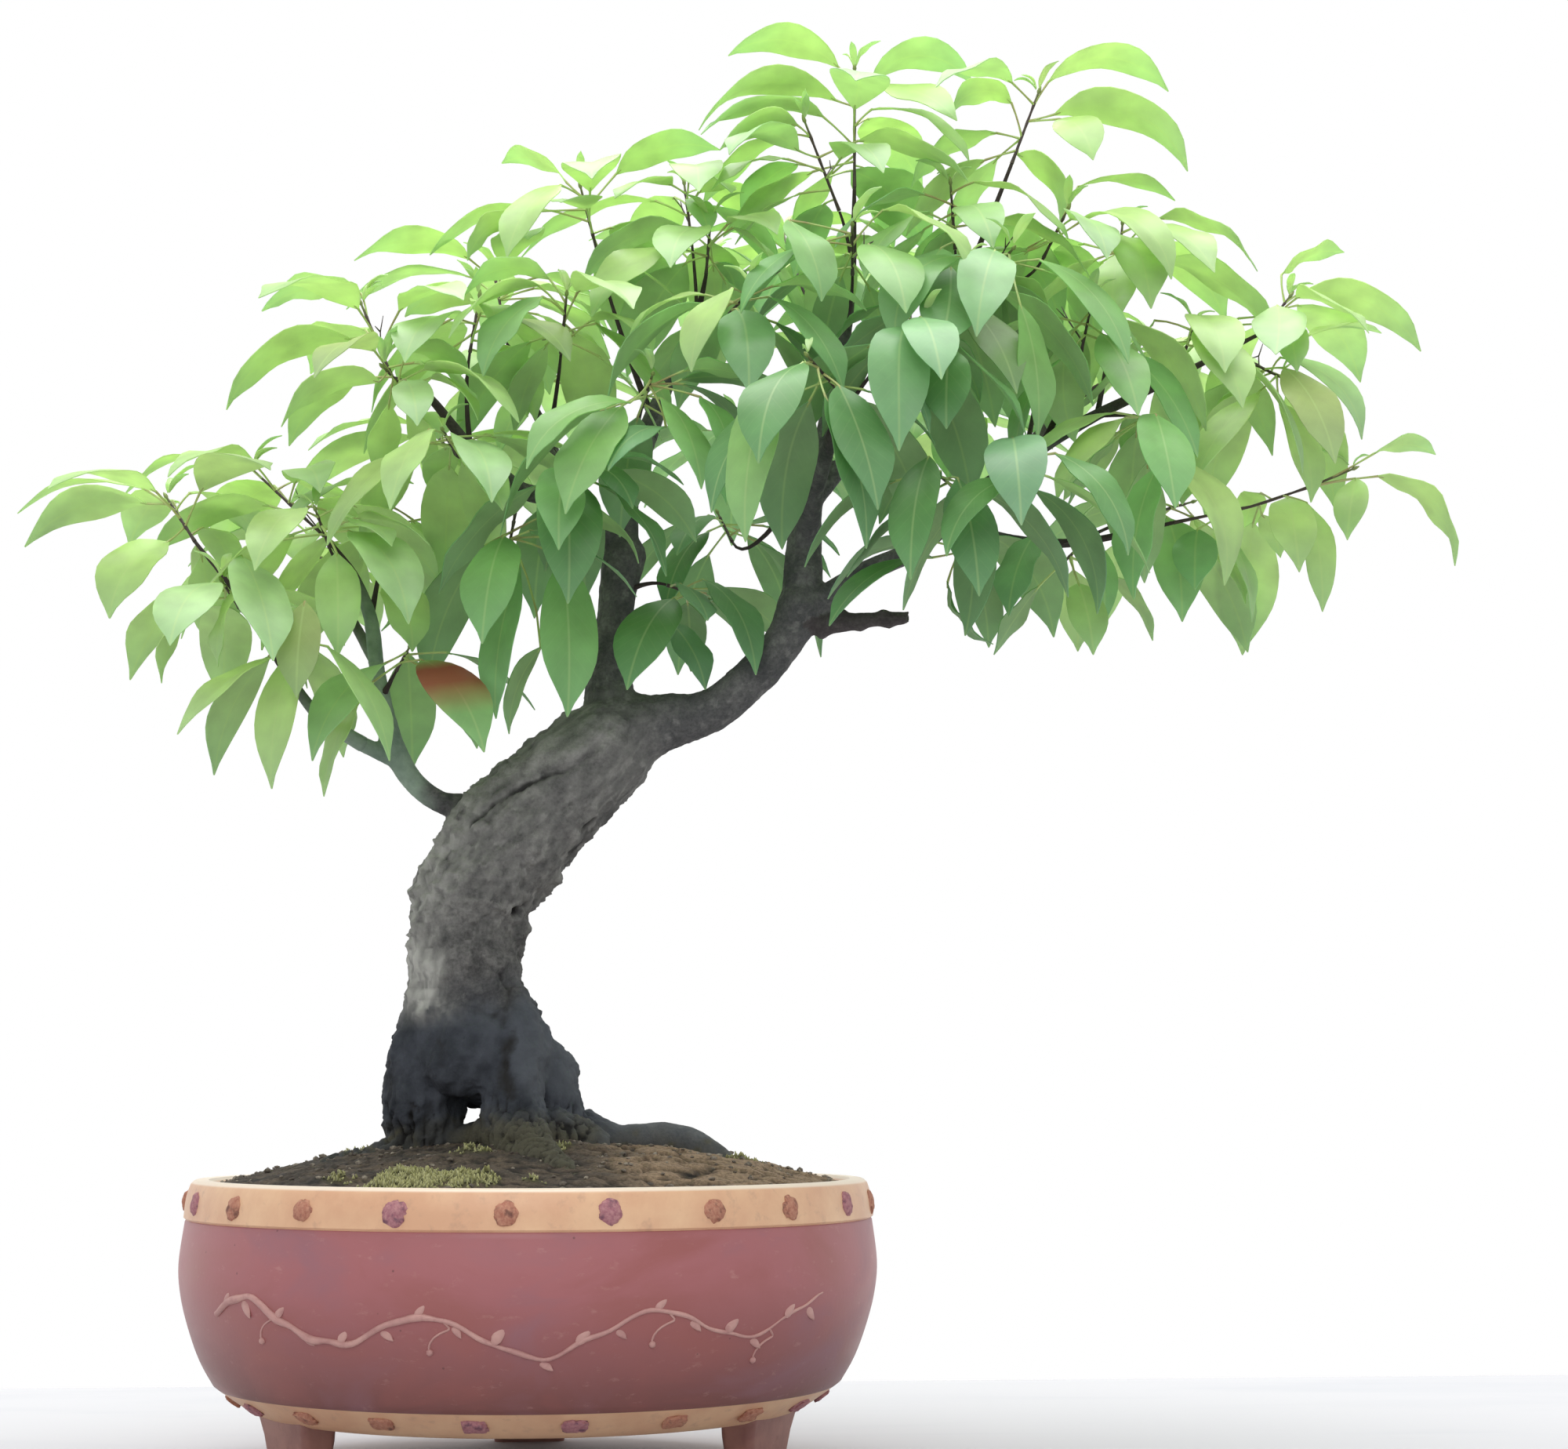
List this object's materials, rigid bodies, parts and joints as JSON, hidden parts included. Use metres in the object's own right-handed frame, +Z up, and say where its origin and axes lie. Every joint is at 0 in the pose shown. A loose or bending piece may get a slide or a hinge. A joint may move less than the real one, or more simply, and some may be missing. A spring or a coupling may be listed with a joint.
{
  "type": "potted bonsai tree",
  "caption": "Camphor tree trained as a leaning bonsai, with a thick rooted trunk and drooping leafy shoots, in a round glazed pot on short feet, for display.",
  "frame": {"origin": "middle of the underside of the overall box, on the table that the pot's feet stand on", "axes": "+X towards the side that the tree leans to, -Y towards the front, where the pot's feet show left and right, +Z up"},
  "size_m": [0.681, 0.4356, 0.6785],
  "materials": {
    "glaze": "satin",
    "soil": "matte",
    "bark": "matte",
    "leaf_young": "satin",
    "leaf_mid": "satin",
    "leaf_shade": "satin"
  },
  "bodies": {
    "root": {"pot": "glaze", "soil": "soil", "wood": "bark", "spray_01": "leaf_young", "spray_02": "leaf_young", "spray_03": "leaf_young", "spray_04": "leaf_mid", "spray_05": "leaf_shade", "spray_06": "leaf_shade", "spray_07": "leaf_shade", "spray_08": "leaf_shade", "spray_09": "leaf_shade", "spray_10": "leaf_mid", "spray_11": "leaf_shade", "spray_12": "leaf_shade", "spray_13": "leaf_young", "spray_14": "leaf_young", "spray_15": "leaf_mid", "spray_16": "leaf_mid", "spray_17": "leaf_mid", "spray_18": "leaf_shade", "spray_19": "leaf_shade", "spray_20": "leaf_shade", "spray_21": "leaf_shade", "spray_22": "leaf_mid", "spray_23": "leaf_shade", "spray_24": "leaf_mid", "spray_25": "leaf_shade", "spray_26": "leaf_shade", "spray_27": "leaf_shade", "spray_28": "leaf_shade", "spray_29": "leaf_shade", "spray_30": "leaf_shade", "spray_31": "leaf_shade", "spray_32": "leaf_shade", "spray_33": "leaf_shade", "spray_34": "leaf_young", "spray_35": "leaf_young", "spray_36": "leaf_mid", "spray_37": "leaf_shade", "spray_38": "leaf_mid", "spray_39": "leaf_shade", "spray_40": "leaf_shade", "spray_41": "leaf_mid", "spray_42": "leaf_mid", "spray_43": "leaf_mid", "spray_44": "leaf_mid", "spray_45": "leaf_young", "spray_46": "leaf_mid", "spray_47": "leaf_mid", "spray_48": "leaf_shade", "spray_49": "leaf_shade", "spray_50": "leaf_shade", "spray_51": "leaf_mid", "spray_52": "leaf_mid", "spray_53": "leaf_young", "spray_54": "leaf_mid", "spray_55": "leaf_shade"}
  },
  "joints": []
}
